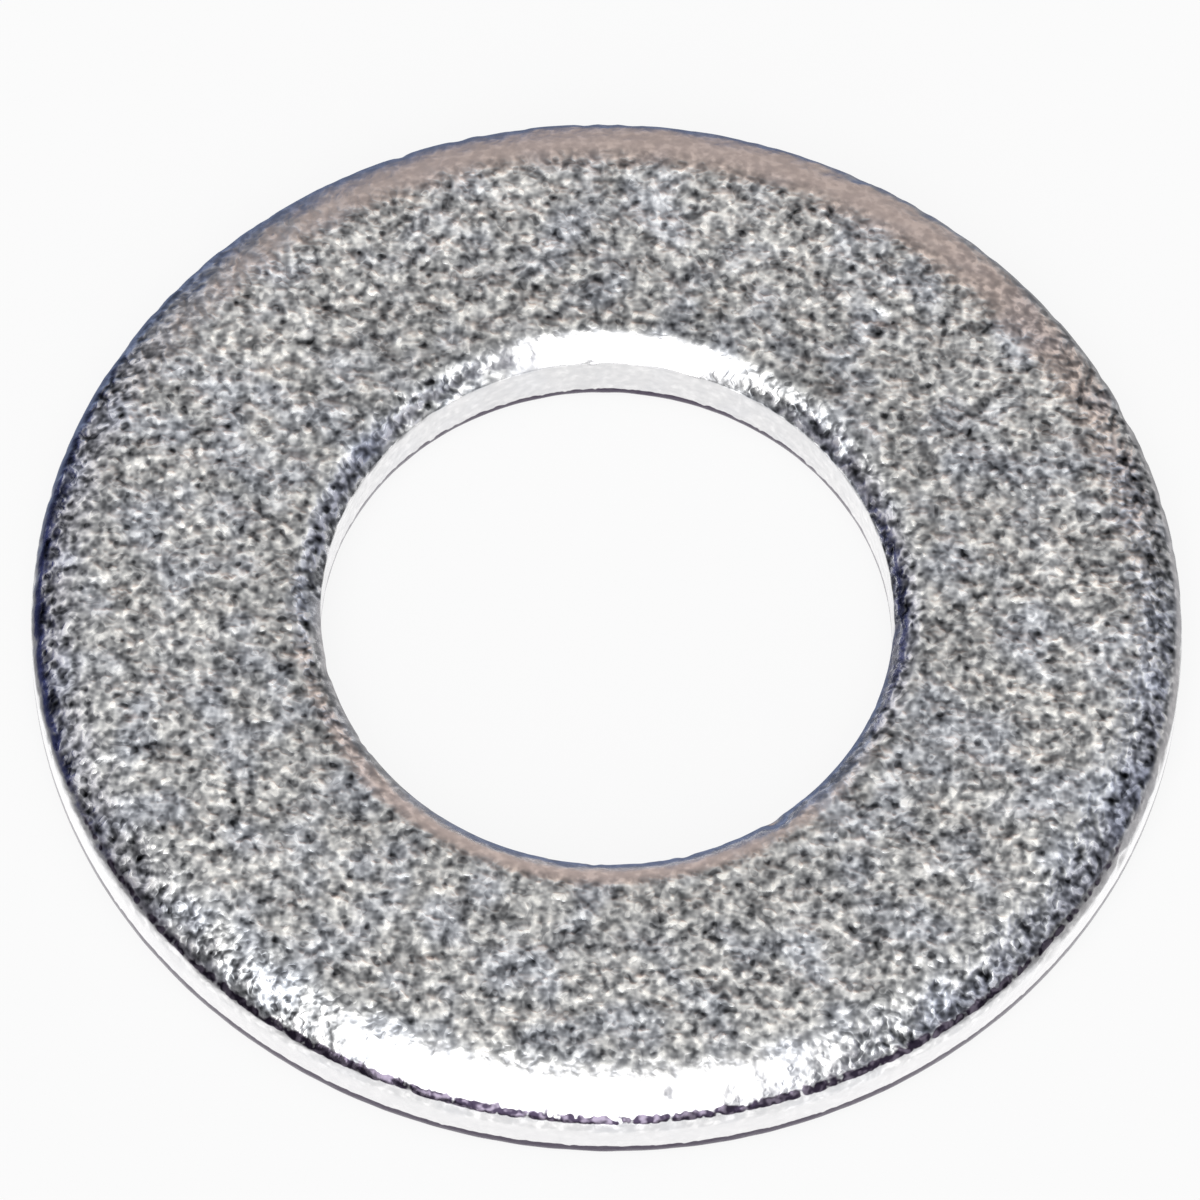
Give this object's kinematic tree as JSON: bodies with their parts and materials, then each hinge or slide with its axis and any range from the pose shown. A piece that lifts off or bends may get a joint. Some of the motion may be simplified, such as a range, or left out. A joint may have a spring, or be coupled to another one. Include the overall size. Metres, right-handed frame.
{
  "type": "flat washer",
  "caption": "Plain flat washer of zinc-plated steel, rolled over at the rim and the hole on its upper side, that spreads a bolt's load.",
  "frame": {"origin": "centre of the hole, in the plane of the lower face", "axes": "+Z along the axis of the hole, towards the face whose edges are rolled over; X and Y are free"},
  "size_m": [0.0206, 0.0206, 0.0015],
  "materials": {
    "zinc_plate": "bright zinc plate: a fine sparkling grain on both flat faces, smoother on the rolled edges and the walls"
  },
  "bodies": {
    "root": {"washer": "zinc_plate"}
  },
  "joints": []
}
